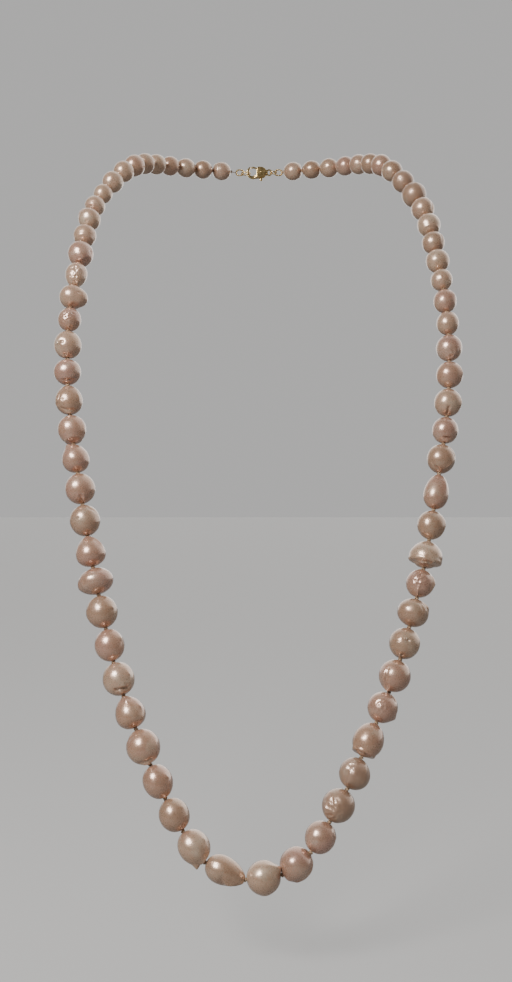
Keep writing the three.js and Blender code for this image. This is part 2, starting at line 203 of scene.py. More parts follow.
RIGHT_PEARLS = [
    (9.8, 9.8, 0, "champagne", []),
    (10, 10, 0, "dull", [("wrinkle", -30, 10, 34, 0.016)]),
    (11.2, 11, 0, "dull", [("dent", -30, 10, 0.03, 26), ("fold", -10, 60, 40, -44, 0.03, 8)]),
    (10.4, 10.2, 0, "cream", [("crease", 50, 40, 58, -40, 0.03, 8)]),
    (10.2, 10.2, 0, "cream", [("ring", 0, -90, 44, 0.016, 7)]),
    (9.8, 9.8, 0, "champagne", [("crease", 30, 50, 50, -30, 0.03, 7)]),
    (10.1, 10, 0, "cream", [("dent", -10, -60, 0.03, 20)]),
    (9.2, 9.2, 0, "cream", [("wrinkle", 20, -30, 30, 0.014)]),
    (9.7, 9.7, 0, "peach", [("fold", 40, 40, 54, -40, 0.03, 8), ("tail", 10, -70, 0.06, 16)]),
    (9.3, 9.3, 0, "cream", [("ring", 20, 80, 38, 0.018, 7)]),
    (10.6, 10.6, 0, "rose", [("wrinkle", 24, -50, 28, 0.028), ("tail", -14, -72, 0.08, 12)]),
    (10.8, 10.6, 0, "peach", [("tail", 14, -76, 0.09, 12), ("fold", 52, 40, 60, -40, 0.03, 8)]),
    (11, 11, 0, "cream", [("crease", -4, -32, -6, -76, 0.07, 5), ("fold", 58, 36, 60, -44, 0.03, 9)]),
    (10.3, 10.3, 0, "rose", [
        ("fold", -28, -62, 40, -60, 0.06, 6), ("crease", -20, -48, 36, -46, 0.05, 5),
        ("tail", 18, -60, 0.07, 8),
    ]),
    (11.3, 11.3, 0, "champagne", [
        ("crease", 20, 52, 58, 8, 0.03, 5), ("fold", 58, 8, 30, -46, 0.03, 5),
        ("crease", -60, -20, -22, -66, 0.04, 6),
    ]),
    (9.7, 13.8, 0.15, "peach", [("fold", 24, 72, 40, 6, 0.04, 12), ("crease", -18, -74, 30, -70, 0.05, 6)]),
    (10.8, 11, 0, "champagne", [
        ("tail", -58, -40, 0.12, 9), ("fold", 62, 42, 62, -40, 0.035, 7), ("tail", 8, -80, 0.07, 12),
    ]),
    (12.5, 10.2, 0.2, "cream", [
        ("ring", 0, -90, 58, 0.04, 10), ("ring", 0, -90, 38, -0.03, 12),
        ("fold", -62, -44, 20, -48, 0.06, 6), ("wrinkle", 6, -42, 26, 0.022),
    ]),
    (10.7, 10.5, 0, "peach", [
        ("wrinkle", -20, 8, 36, 0.030), ("fold", 52, 40, 58, -30, 0.06, 8),
        ("fold", -14, -30, -8, -72, 0.05, 7),
    ]),
    (11.9, 10.3, 0, "champagne", [
        ("tail", 58, 32, 0.13, 11), ("wrinkle", 40, 22, 24, 0.030), ("dent", 22, 44, 0.03, 14),
    ]),
    (11.6, 11.4, 0, "champagne", [
        ("fold", -6, 72, -20, -62, 0.10, 6), ("crease", 6, 70, -6, -60, 0.06, 6),
        ("fold", 60, 34, 40, -54, 0.04, 5), ("wrinkle", -48, -20, 24, 0.016),
    ]),
    (11.9, 11.6, 0, "peach", [
        ("crease", -44, 16, -34, -64, 0.06, 6), ("fold", -54, 10, -42, -66, 0.05, 6),
        ("tail", -34, -72, 0.16, 12), ("wrinkle", -40, -50, 20, 0.024),
    ]),
    (11.2, 11, 0, "peach", [
        ("tail", 80, -20, 0.12, 14), ("wrinkle", -18, 2, 26, 0.032), ("dent", -16, 6, 0.04, 10),
        ("crease", 4, 66, 44, 40, 0.04, 6),
    ]),
    (11.4, 12.4, 0.1, "peach", [
        ("dent", 2, 50, 0.09, 9), ("fold", -10, 56, 14, 40, 0.05, 7),
        ("ring", 6, -84, 40, 0.05, 6), ("crease", -64, -34, 40, -58, 0.045, 5),
        ("tail", -76, -36, 0.08, 10),
    ]),
    (10.9, 10.9, 0, "dull", [
        ("fold", 4, 78, -22, -44, 0.07, 7), ("fold", 14, 74, 40, -20, 0.04, 8),
        ("crease", -36, 30, -44, -46, 0.04, 8), ("lobe", 84, -10, 0.82, 0.30),
        ("wrinkle", -24, 10, 34, 0.020),
    ]),
    (11.8, 11.8, 0, "dull", [
        ("fold", -62, -10, -40, -60, 0.06, 6), ("wrinkle", -30, -24, 40, 0.022),
        ("crease", -54, 20, -20, -24, 0.04, 5),
    ]),
    (11, 11, 0, "rose", [("crease", 30, 40, 60, 0, 0.018, 4), ("ring", 60, 60, 30, 0.012, 6)]),
    (11.7, 11.7, 0, "rose", [
        ("fold", 36, 66, 62, -34, 0.05, 7), ("crease", 20, 60, 48, -30, 0.03, 6),
        ("dent", -20, 74, 0.05, 12), ("tail", 40, -60, 0.08, 14),
    ]),
]
NAPE_PEARLS = [
    (9.4, 9.4, 0, "cream", [("ring", 0, -90, 46, 0.016, 7)]),
    (9.4, 9.4, 0, "champagne", [("dent", 150, 20, 0.03, 20)]),
    (9.6, 9.6, 0, "cream", [("fold", 160, 50, 170, -50, 0.04, 8)]),
    (9.6, 9.6, 0, "peach", [("wrinkle", 190, 10, 34, 0.018)]),
    (9.8, 9.8, 0, "cream", [("tail", 200, -60, 0.07, 14)]),
    (9.8, 9.8, 0, "champagne", [("crease", 140, 40, 210, -30, 0.04, 7)]),
    (10, 10, 0, "peach", [("ring", 180, 0, 40, 0.014, 8)]),
]
CENTRE_PEARL = (11.6, 11.6, 0, "cream", [
    ("tail", 64, -56, 0.20, 14), ("fold", 30, -70, 64, -20, 0.05, 9), ("tail", -60, 2, 0.07, 22),
])
MM = 0.001
PEARL_RINGS = 68
PEARL_SIDES = 96
LUMPS = 0.014
RUFFLE = 0.0035
PROUD = 0.28
# Folds, creases, rings and wrinkles stand out by this much more than the rows say.
RELIEF = 2.1
# A tail is a sharp point on a round swelling; a fold fades out at its ends and wavers on the way.
TAIL_POINT, TAIL_SWELLING = 0.55, 0.45
FOLD_FADE, FOLD_END, FOLD_EASE, FOLD_WAVER = 4.5, 1.12, 0.7, 0.35
LOBE_SEAM = 18
# Near the drilled hole the ball is truer: the lumps and marks die down within this angle of it.
TRUE_ANGLE, TRUE_SHARE = 0.25, 0.25
HOLE_RADIUS = 0.5
BORE_RADIUS = HOLE_RADIUS * 0.92
BORE_STEPS, BORE_INSET = 5, 0.25


def direction(around, up):
    around, up = math.radians(around), math.radians(up)
    return np.array([math.sin(around) * math.cos(up), math.cos(around) * math.cos(up), -math.sin(up)])


def degrees_from(points, place):
    return np.degrees(np.arccos(np.clip(points @ place, -1, 1)))


def degrees_from_arc(points, start, end):
    """How far each point on the unit ball lies from the arc from start to end, and where along it."""
    chord = end - start
    share = np.clip(((points - start) @ chord) / (chord @ chord), 0, 1)
    nearest = start + share[:, None] * chord
    nearest /= np.linalg.norm(nearest, axis=1)[:, None]
    return np.degrees(np.arccos(np.clip((points * nearest).sum(1), -1, 1))), share


def ripples(points, random, count, slowest, fastest):
    """A smooth bumpy field between about -1 and 1."""
    total = np.zeros(len(points))
    for _ in range(count):
        wave = random.normal(size=3)
        wave *= random.uniform(slowest, fastest) / np.linalg.norm(wave)
        total += np.sin(points @ wave + random.uniform(0, 2 * math.pi))
    return total / math.sqrt(count)


def mark(kind, points, sizes, random):
    """How much one mark adds to the pearl's radius, as a share of it."""
    if kind == "tail":
        around, up, length, width = sizes
        away = degrees_from(points, direction(around, up))
        point, swelling = np.exp(-away / width), np.exp(-(away / width) ** 2)
        return length * (TAIL_POINT * point + TAIL_SWELLING * swelling)
    if kind in ("fold", "crease"):
        away, share = degrees_from_arc(points, direction(*sizes[:2]), direction(*sizes[2:4]))
        height, width = sizes[4:]
        waver = 1 + FOLD_WAVER * ripples(points, random, 5, 5, 12)
        fade = np.clip(FOLD_FADE * share * (FOLD_END - share), 0, 1) ** FOLD_EASE
        shape = np.exp(-(away / width) ** 2) if kind == "crease" else np.exp(-away / width)
        return RELIEF * (height if kind == "fold" else -height) * shape * fade * waver
    if kind == "ring":
        around, up, turn, height, width = sizes
        away = degrees_from(points, direction(around, up))
        return RELIEF * height * np.exp(-((away - turn) / width) ** 2)
    if kind == "dent":
        around, up, depth, width = sizes
        away = degrees_from(points, direction(around, up))
        return -depth * np.exp(-(away / width) ** 2)
    if kind == "wrinkle":
        around, up, spread, height = sizes
        away = degrees_from(points, direction(around, up))
        ruffle = 1 - np.abs(ripples(points, random, 6, 9, 20))
        return RELIEF * height * ruffle * np.exp(-(away / spread) ** 2)
    around, up, size, offset = sizes
    along = points @ direction(around, up)
    root = size**2 - offset**2 * (1 - along**2)
    second = np.where((root > 0) & (along > 0), offset * along + np.sqrt(np.maximum(root, 0)), 0)
    return np.log(1 + np.exp(LOBE_SEAM * (second - 1))) / LOBE_SEAM


def pearl_object(name, row, clasp_end, front_end, seed):
    """A drilled pearl between two knots: rings of points over the outside, then down the bore."""
    across, along, taper, finish, marks = row
    random = np.random.default_rng(seed)
    down = (front_end - clasp_end) / np.linalg.norm(front_end - clasp_end)
    out = np.array([0, -1, 0]) + down * down[1]
    out /= np.linalg.norm(out)
    beside = np.cross(out, down)
    first = math.asin(HOLE_RADIUS / (across / 2))
    angles = np.linspace(first, math.pi - first, PEARL_RINGS)
    turns = np.linspace(0, 2 * math.pi, PEARL_SIDES, endpoint=False)
    angle, turn = (grid.ravel() for grid in np.meshgrid(angles, turns, indexing="ij"))
    ball = np.stack([np.sin(angle) * np.sin(turn), np.sin(angle) * np.cos(turn), -np.cos(angle)], 1)
    swell = 1 + LUMPS * ripples(ball, random, 7, 1.5, 4) + RUFFLE * ripples(ball, random, 8, 7, 15)
    for kind, *sizes in marks:
        swell += mark(kind, ball, sizes, random)
    free = np.clip(np.minimum(angle - first, math.pi - first - angle) / TRUE_ANGLE, 0, 1)
    swell = 1 + (swell - 1) * (TRUE_SHARE + (1 - TRUE_SHARE) * free)
    wide = across / 2 * (1 - taper * np.cos(angle) * free)
    local = np.stack([ball[:, 0] * wide, ball[:, 1] * wide, ball[:, 2] * (along / 2 + PROUD)], 1)
    local *= swell[:, None]
    bore = []
    for share in np.linspace(1, -1, BORE_STEPS):
        depth = np.full(PEARL_SIDES, share * (along / 2 - BORE_INSET))
        bore.append(np.stack([BORE_RADIUS * np.sin(turns), BORE_RADIUS * np.cos(turns), depth], 1))
    local = np.concatenate([local, *bore])
    middle = (clasp_end + front_end) / 2
    world = middle + local @ np.stack([beside, out, down])
    rows = PEARL_RINGS + BORE_STEPS
    faces = []
    for i in range(rows):
        this = i * PEARL_SIDES
        below = (i + 1) % rows * PEARL_SIDES
        for j in range(PEARL_SIDES):
            k = (j + 1) % PEARL_SIDES
            faces.append((this + j, below + j, below + k, this + k))
    return smooth_object(name, world, faces, nacre[finish])


def smooth_object(name, points, faces, material):
    """A smooth-shaded mesh object from points in millimetres."""
    mesh = bpy.data.meshes.new(name)
    mesh.from_pydata((np.asarray(points) * MM).tolist(), [], faces)
    mesh.materials.append(material)
    mesh.shade_smooth()
    mesh.validate()
    made = bpy.data.objects.new(name, mesh)
    bpy.context.scene.collection.objects.link(made)
    return made


# The pearls' surface: nacre is clear platelets over a milky body, which gives a soft broad shine
# under a thin bright one. The body colour drifts between two tones with paler clouds, and fine growth
# lines ruffle the skin and its gloss.
GROWTH_LINE_HEIGHT = 0.00006


def new_material(name):
    material = bpy.data.materials.new(name)
    material.use_nodes = True
    nodes = material.node_tree.nodes
    return material, nodes, material.node_tree.links, nodes["Principled BSDF"]


def growth_group():
    """Body colour, roughness and bump height of nacre, from where the point lies on the strand."""
    group = bpy.data.node_groups.new("nacre_growth", "ShaderNodeTree")
    for name in ("Body", "Overtone", "Pale"):
        group.interface.new_socket(name, in_out="INPUT", socket_type="NodeSocketColor")
    for name in ("Smoothest", "Roughest"):
        group.interface.new_socket(name, in_out="INPUT", socket_type="NodeSocketFloat")
    group.interface.new_socket("Colour", in_out="OUTPUT", socket_type="NodeSocketColor")
    group.interface.new_socket("Roughness", in_out="OUTPUT", socket_type="NodeSocketFloat")
    group.interface.new_socket("Height", in_out="OUTPUT", socket_type="NodeSocketFloat")
    nodes, links = group.nodes, group.links
    given, put = nodes.new("NodeGroupInput"), nodes.new("NodeGroupOutput")
    place = nodes.new("ShaderNodeTexCoord")

    def noise(scale, detail, rough, twist=0.0):
        node = nodes.new("ShaderNodeTexNoise")
        node.inputs["Scale"].default_value = scale
        node.inputs["Detail"].default_value = detail
        node.inputs["Roughness"].default_value = rough
        node.inputs["Distortion"].default_value = twist
        links.new(place.outputs["Object"], node.inputs["Vector"])
        return node.outputs["Fac"]

    def ramp(source, low, high):
        node = nodes.new("ShaderNodeMapRange")
        node.interpolation_type = "SMOOTHSTEP"
        node.inputs["From Min"].default_value = low
        node.inputs["From Max"].default_value = high
        links.new(source, node.inputs["Value"])
        return node.outputs["Result"]

    def mixed(share, a, b):
        node = nodes.new("ShaderNodeMix")
        node.data_type = "RGBA"
        links.new(share, node.inputs["Factor"])
        links.new(a, node.inputs[6])
        links.new(b, node.inputs[7])
        return node.outputs[2]

    drift = ramp(noise(scale=75, detail=2, rough=0.5), low=0.38, high=0.64)
    cloud = ramp(noise(scale=130, detail=2, rough=0.5, twist=0.3), low=0.48, high=0.80)
    blush = mixed(drift, given.outputs["Body"], given.outputs["Overtone"])
    links.new(mixed(cloud, blush, given.outputs["Pale"]), put.inputs["Colour"])
    streak = noise(scale=900, detail=5, rough=0.62, twist=1.2)
    gloss = nodes.new("ShaderNodeMapRange")
    links.new(ramp(streak, low=0.36, high=0.7), gloss.inputs["Value"])
    links.new(given.outputs["Smoothest"], gloss.inputs["To Min"])
    links.new(given.outputs["Roughest"], gloss.inputs["To Max"])
    links.new(gloss.outputs["Result"], put.inputs["Roughness"])
    fine = noise(scale=2600, detail=3, rough=0.55)
    both = nodes.new("ShaderNodeMath")
    both.operation = "MULTIPLY_ADD"
    both.inputs[1].default_value = 0.35
    links.new(fine, both.inputs[0])
    links.new(streak, both.inputs[2])
    links.new(both.outputs[0], put.inputs["Height"])
    return group


NACRE_GROWTH = growth_group()


def nacre_material(name, body, overtone, pale, smoothest, roughest, ruffle):
    material, nodes, links, shader = new_material(name)
    growth = nodes.new("ShaderNodeGroup")
    growth.node_tree = NACRE_GROWTH
    for socket, colour in (("Body", body), ("Overtone", overtone), ("Pale", pale)):
        growth.inputs[socket].default_value = (*colour, 1)
    growth.inputs["Smoothest"].default_value = smoothest
    growth.inputs["Roughest"].default_value = roughest
    bump = nodes.new("ShaderNodeBump")
    bump.inputs["Strength"].default_value = ruffle
    bump.inputs["Distance"].default_value = GROWTH_LINE_HEIGHT
    links.new(growth.outputs["Height"], bump.inputs["Height"])
    links.new(bump.outputs["Normal"], shader.inputs["Normal"])
    links.new(growth.outputs["Colour"], shader.inputs["Base Color"])
    links.new(growth.outputs["Roughness"], shader.inputs["Roughness"])
    shader.inputs["IOR"].default_value = 2.0
    shader.inputs["Metallic"].default_value = 0.40
    shader.inputs["Subsurface Weight"].default_value = 0.12
    shader.inputs["Subsurface Radius"].default_value = (0.9, 0.55, 0.4)
    shader.inputs["Subsurface Scale"].default_value = 0.0012
    shader.inputs["Coat Weight"].default_value = 0.7
    shader.inputs["Coat Roughness"].default_value = 0.07
    shader.inputs["Coat IOR"].default_value = 1.5
    shader.inputs["Sheen Weight"].default_value = 0.08
    shader.inputs["Sheen Roughness"].default_value = 0.35
    shader.inputs["Sheen Tint"].default_value = (1, 0.86, 0.80, 1)
    return material


nacre = {
    "peach": nacre_material(
        "peach_nacre", body=(0.50, 0.30, 0.197), overtone=(0.51, 0.295, 0.215), pale=(0.60, 0.425, 0.31),
        smoothest=0.25, roughest=0.37, ruffle=0.45,
    ),
    "rose": nacre_material(
        "rose_nacre", body=(0.49, 0.29, 0.20), overtone=(0.505, 0.293, 0.222), pale=(0.59, 0.41, 0.315),
        smoothest=0.23, roughest=0.35, ruffle=0.45,
    ),
    "cream": nacre_material(
        "cream_nacre", body=(0.55, 0.36, 0.245), overtone=(0.53, 0.335, 0.235), pale=(0.64, 0.48, 0.355),
        smoothest=0.25, roughest=0.37, ruffle=0.45,
    ),
    "champagne": nacre_material(
        "champagne_nacre", body=(0.455, 0.282, 0.184), overtone=(0.465, 0.286, 0.192),
        pale=(0.56, 0.405, 0.292), smoothest=0.25, roughest=0.37, ruffle=0.5,
    ),
    "dull": nacre_material(
        "dull_nacre", body=(0.41, 0.25, 0.165), overtone=(0.43, 0.265, 0.185), pale=(0.52, 0.38, 0.275),
        smoothest=0.33, roughest=0.47, ruffle=0.8,
    ),
}

# Stringing the pearls: outwards from the one at the front, with a knot's room after each. Those on
# the chest hang in pairs, each pair on its own tier; those on the shoulders and round the nape lie
# still against the neck.
KNOT_GAP = 1.4
CENTRE_OFFSET = 3
PAIRS_ON_SHOULDERS = 5
PAIRS = len(LEFT_PEARLS)
FIRST_SEEDS = {"left": 100, "right": 300}
CENTRE_SEED = 7


def knot_places(rows, first, way):
    places = [first]
    for row in rows:
        places.append(places[-1] + way * (row[1] + KNOT_GAP))
    return [on_strand(place) for place in places]


half_centre = (CENTRE_PEARL[1] + KNOT_GAP) / 2
centre_place = reach[-1] / 2 + CENTRE_OFFSET
outwards = {
    "left": (NAPE_PEARLS + LEFT_PEARLS)[::-1],
    "right": (NAPE_PEARLS + RIGHT_PEARLS)[::-1],
}
knots = {
    "left": knot_places(outwards["left"], centre_place - half_centre, -1),
    "right": knot_places(outwards["right"], centre_place + half_centre, 1),
}

for side, rows in outwards.items():
    for out, row in enumerate(rows):
        pair = PAIRS - out
        clasp_end, front_end = knots[side][out + 1], knots[side][out]
        name = f"pearl_{side}_{pair:02d}" if pair > 0 else f"nape_pearl_{side}_{1 - pair}"
        seed = FIRST_SEEDS[side] + out
        pearl = pearl_object(name + "_nacre", row, clasp_end, front_end, seed)
        if pair > PAIRS_ON_SHOULDERS:
            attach(pearl, f"tier_{pair:02d}")
            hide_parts(name)
        else:
            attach(pearl, "nape")
            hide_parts(f"shoulder_pearls_{side}" if pair > 0 else f"nape_pearls_{side}")

centre_ends = knots["left"][0], knots["right"][0]
centre = pearl_object("centre_pearl_nacre", CENTRE_PEARL, *centre_ends, CENTRE_SEED)
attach(centre, "centre")
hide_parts("pearl_centre")

# The silk: a tan bead cord, two plies twisted round each other. It runs through every pearl and is
# tied in an overhand knot after each, drawn up against the drilled hole, so that no pearl rubs on
# the next or is lost if the cord breaks. Its two tones are darker than the cord's own tan: painted
# shade, for the shade the knots lie in between the pearls.
THREAD_RADIUS = 0.27
THREAD_STEP = 0.35
PLY_RADIUS, PLY_SIDES = 0.17, 7
PLY_TURN = 1.1
KNOT_COIL = 0.48
KNOT_SWELL = 0.20
KNOT_RISE = 1.15 * KNOT_SWELL
KNOT_THREAD = THREAD_RADIUS * 0.88
KNOT_STEPS, KNOT_SIDES = 44, 8
# Each knot lies turned from the one before it.
CHEST_KNOT_SPIN, NAPE_KNOT_SPIN, FRONT_KNOT_SPIN = 1.7, 2.1, 0.6
# Both tones are darkened past the cord's own tan as painted shade, for the shade between the pearls.
SILK_DARK = (0.30, 0.19, 0.11, 1)
SILK_LIGHT = (0.54, 0.39, 0.25, 1)
FIBRE_DEPTH = 0.00003
# A direction that no thread or wire runs along, to start a tube's sides from.
ASKEW = (0.31, 0.52, 0.79)


def silk_material():
    material, nodes, links, shader = new_material("tan_silk")
    place = nodes.new("ShaderNodeTexCoord")
    fibres = nodes.new("ShaderNodeTexNoise")
    fibres.inputs["Scale"].default_value = 5200
    fibres.inputs["Detail"].default_value = 4
    fibres.inputs["Distortion"].default_value = 1.5
    # Random mottling between the two silk tones; its darker end is partly painted shade.
    grime_and_shade = nodes.new("ShaderNodeTexNoise")
    grime_and_shade.inputs["Scale"].default_value = 420
    links.new(place.outputs["Object"], fibres.inputs["Vector"])
    links.new(place.outputs["Object"], grime_and_shade.inputs["Vector"])
    colour = nodes.new("ShaderNodeMix")
    colour.data_type = "RGBA"
    colour.inputs[6].default_value = SILK_DARK
    colour.inputs[7].default_value = SILK_LIGHT
    links.new(grime_and_shade.outputs["Fac"], colour.inputs["Factor"])
    links.new(colour.outputs[2], shader.inputs["Base Color"])
    bump = nodes.new("ShaderNodeBump")
    bump.inputs["Strength"].default_value = 0.6
    bump.inputs["Distance"].default_value = FIBRE_DEPTH
    links.new(fibres.outputs["Fac"], bump.inputs["Height"])
    links.new(bump.outputs["Normal"], shader.inputs["Normal"])
    shine = nodes.new("ShaderNodeMapRange")
    shine.inputs["To Min"].default_value = 0.55
    shine.inputs["To Max"].default_value = 0.85
    links.new(fibres.outputs["Fac"], shine.inputs["Value"])
    links.new(shine.outputs["Result"], shader.inputs["Roughness"])
    shader.inputs["Sheen Weight"].default_value = 0.3
    return material


SILK = silk_material()


def tube(path, radius, sides, closed=False):
    """Points and faces of a round tube along a path, with flat ends if it isn't closed."""
    path = np.asarray(path, float)
    count = len(path)
    if closed:
        tangent = np.roll(path, -1, 0) - np.roll(path, 1, 0)
    else:
        tangent = np.gradient(path, axis=0)
    tangent /= np.linalg.norm(tangent, axis=1)[:, None]
    normal = np.cross(tangent[0], ASKEW)
    normals = []
    for t in tangent:
        normal = normal - t * (normal @ t)
        normal /= np.linalg.norm(normal)
        normals.append(normal)
    normals = np.array(normals)
    if closed:
        end = normals[-1] - tangent[0] * (normals[-1] @ tangent[0])
        twist = math.atan2(np.cross(end, normals[0]) @ tangent[0], end @ normals[0])
        spin = np.linspace(0, twist, count)[:, None]
        normals = normals * np.cos(spin) + np.cross(tangent, normals) * np.sin(spin)
    binormals = np.cross(tangent, normals)
    turns = np.linspace(0, 2 * math.pi, sides, endpoint=False)[None, :, None]
    ring = np.cos(turns) * normals[:, None] + np.sin(turns) * binormals[:, None]
    points = (path[:, None] + radius * ring).reshape(-1, 3)
    spans = count if closed else count - 1
    faces = []
    for i in range(spans):
        for j in range(sides):
            k, m = (j + 1) % sides, (i + 1) % count
            faces.append((i * sides + j, i * sides + k, m * sides + k, m * sides + j))
    if not closed:
        faces.append(tuple(range(sides))[::-1])
        faces.append(tuple((count - 1) * sides + j for j in range(sides)))
    return points, faces


def joined(shells):
    points, faces, start = [], [], 0
    for shell_points, shell_faces in shells:
        points.append(shell_points)
        faces.extend(tuple(i + start for i in face) for face in shell_faces)
        start += len(shell_points)
    return np.concatenate(points), faces


def plies(places):
    """Two plies that twist round each other along a line of places."""
    lengths = np.concatenate([[0], np.cumsum(np.linalg.norm(np.diff(places, axis=0), axis=1))])
    spots = np.arange(0, lengths[-1], THREAD_STEP)
    middle = np.stack([np.interp(spots, lengths, places[:, i]) for i in range(3)], 1)
    along = np.gradient(middle, axis=0)
    along /= np.linalg.norm(along, axis=1)[:, None]
    side = np.cross(along, [0, 1, 0])
    side /= np.linalg.norm(side, axis=1)[:, None]
    other = np.cross(along, side)
    spin = (spots * 2 * math.pi / PLY_TURN)[:, None]
    offset = (THREAD_RADIUS - PLY_RADIUS) * (np.cos(spin) * side + np.sin(spin) * other)
    return [tube(middle + way * offset, PLY_RADIUS, PLY_SIDES) for way in (1, -1)]


def overhand_knot(place, along, spin):
    """A tight three-crossing knot round the thread's line."""
    along = along / np.linalg.norm(along)
    side = np.cross(along, [0, 1, 0.2])
    side /= np.linalg.norm(side)
    other = np.cross(along, side)
    t = np.linspace(0, 2 * math.pi, KNOT_STEPS, endpoint=False)
    radius = KNOT_COIL + KNOT_SWELL * np.cos(3 * t)
    turn = 2 * t + spin
    curve = (
        place
        + (radius * np.cos(turn))[:, None] * side
        + (radius * np.sin(turn))[:, None] * other
        + (KNOT_RISE * np.sin(3 * t))[:, None] * along
    )
    return tube(curve, KNOT_THREAD, KNOT_SIDES, closed=True)


def silk_object(name, shells):
    made = smooth_object(name, *joined(shells), SILK)
    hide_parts("silk_thread")
    return made


def knotted_stretch(side, index):
    """The knot at one place and the thread from there to the middle of the pearl on each side."""
    here = knots[side][index]
    clasp_side = (here + knots[side][index + 1]) / 2
    front_side = (here + knots[side][index - 1]) / 2
    spin = index * CHEST_KNOT_SPIN + (side == "left")
    knot = overhand_knot(here, front_side - clasp_side, spin)
    return [*plies(np.array([clasp_side, here, front_side])), knot]


parent = "nape"
for pair in range(PAIRS_ON_SHOULDERS + 1, PAIRS + 1):
    index = PAIRS + 1 - pair
    shells = knotted_stretch("left", index) + knotted_stretch("right", index)
    piece = silk_object(f"silk_knots_{pair:02d}", shells)
    body = f"tier_{pair:02d}"
    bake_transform(piece)
    parent = body

front_shells = []
for side in ("left", "right"):
    here, beyond = knots[side][0], knots[side][1]
    opposite = knots["right" if side == "left" else "left"][0]
    front_shells += plies(np.array([(here + beyond) / 2, here, (here + opposite) / 2]))
    front_shells.append(overhand_knot(here, here - beyond, FRONT_KNOT_SPIN))
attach(silk_object("silk_knots_front", front_shells), parent)

# The rings and wire loops: round gold-plated wire, bent shut. At each end of the strand the silk
# passes through a loop of gimp, a fine coiled wire that keeps it from wearing; one holds the ring
# that the claw hooks into, and the other the ring in the claw's eye. The clasp lies along X at the
# nape, and its shapes are drawn in X and Z from the middle of the claw, in millimetres.
CLASP_Y = 56.5
RING_WIRE = 0.31
HOOK_RING_RADIUS, HOOK_RING_X, HOOK_RING_Z = 2.4, -6.45, -0.5
EYE_RING_RADIUS, EYE_RING_X = 1.9, 8.3
GIMP_HALF_LENGTH, GIMP_HALF_WIDTH, GIMP_RADIUS = 1.9, 1.5, 0.45
LEFT_GIMP_X, RIGHT_GIMP_X = -9.65, 11
GIMP_WIRE, GIMP_WIRE_SIDES = 0.07, 6
GIMP_TURNS = 62
STEPS_IN_TURN = 12
GIMP_SQUARENESS = 6
RING_STEPS, RING_SIDES = 72, 16
DARKEST_SMEAR = 0.78
HAIRLINE_DEPTH = 0.00001


def polished_metal(name, colour, low, high, scratch):
    material, nodes, links, shader = new_material(name)
    place = nodes.new("ShaderNodeTexCoord")
    smear = nodes.new("ShaderNodeTexNoise")
    smear.inputs["Scale"].default_value = 700
    smear.inputs["Detail"].default_value = 6
    smear.inputs["Roughness"].default_value = 0.65
    links.new(place.outputs["Object"], smear.inputs["Vector"])
    shine = nodes.new("ShaderNodeMapRange")
    shine.inputs["From Min"].default_value = 0.3
    shine.inputs["From Max"].default_value = 0.7
    shine.inputs["To Min"].default_value = low
    shine.inputs["To Max"].default_value = high
    links.new(smear.outputs["Fac"], shine.inputs["Value"])
    links.new(shine.outputs["Result"], shader.inputs["Roughness"])
    tone = nodes.new("ShaderNodeMix")
    tone.data_type = "RGBA"
    tone.inputs[6].default_value = (*[c * DARKEST_SMEAR for c in colour], 1)
    tone.inputs[7].default_value = (*colour, 1)
    links.new(smear.outputs["Fac"], tone.inputs["Factor"])
    links.new(tone.outputs[2], shader.inputs["Base Color"])
    hairlines = nodes.new("ShaderNodeTexNoise")
    hairlines.inputs["Scale"].default_value = 2400
    hairlines.inputs["Detail"].default_value = 5
    hairlines.inputs["Distortion"].default_value = 2
    links.new(place.outputs["Object"], hairlines.inputs["Vector"])
    bump = nodes.new("ShaderNodeBump")
    bump.inputs["Strength"].default_value = scratch
    bump.inputs["Distance"].default_value = HAIRLINE_DEPTH
    links.new(hairlines.outputs["Fac"], bump.inputs["Height"])
    links.new(bump.outputs["Normal"], shader.inputs["Normal"])
    shader.inputs["Metallic"].default_value = 1
    return material


GOLD = polished_metal("gold_plate", (0.86, 0.62, 0.28), low=0.12, high=0.28, scratch=0.25)
GILT_WIRE = polished_metal("gilt_wire", (0.88, 0.68, 0.36), low=0.18, high=0.34, scratch=0.15)


def ring_object(name, radius, x, z, material):
    """A round wire ring that lies flat, in X and Y."""
    t = np.linspace(0, 2 * math.pi, RING_STEPS, endpoint=False)
    level = np.full(RING_STEPS, z)
    path = np.stack([x + radius * np.cos(t), CLASP_Y + radius * np.sin(t), level], 1)
    return smooth_object(name, *tube(path, RING_WIRE, RING_SIDES, closed=True), material)


def wire_loop(name, x, material):
    """Fine wire coiled over the silk and bent into an oval loop."""
    steps = GIMP_TURNS * STEPS_IN_TURN
    t = np.linspace(0, 2 * math.pi, steps, endpoint=False)
    stretch = (GIMP_HALF_LENGTH - GIMP_HALF_WIDTH) * np.tanh(GIMP_SQUARENESS * np.cos(t))
    loop_x = x + GIMP_HALF_WIDTH * np.cos(t) + stretch
    middle = np.stack([loop_x, np.full(steps, CLASP_Y), GIMP_HALF_WIDTH * np.sin(t)], 1)
    outward = np.stack([np.cos(t), np.zeros(steps), np.sin(t)], 1)
    spin = (t * GIMP_TURNS)[:, None]
    winding = np.cos(spin) * outward + np.sin(spin) * np.array([0, 1, 0])
    wire = tube(middle + (GIMP_RADIUS - GIMP_WIRE) * winding, GIMP_WIRE, GIMP_WIRE_SIDES, closed=True)
    core = tube(middle[::STEPS_IN_TURN], GIMP_RADIUS - 1.6 * GIMP_WIRE, STEPS_IN_TURN, closed=True)
    return smooth_object(name, *joined([wire, core]), material)


def gold_piece(piece, body, node):
    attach(piece, body)
    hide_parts(node)


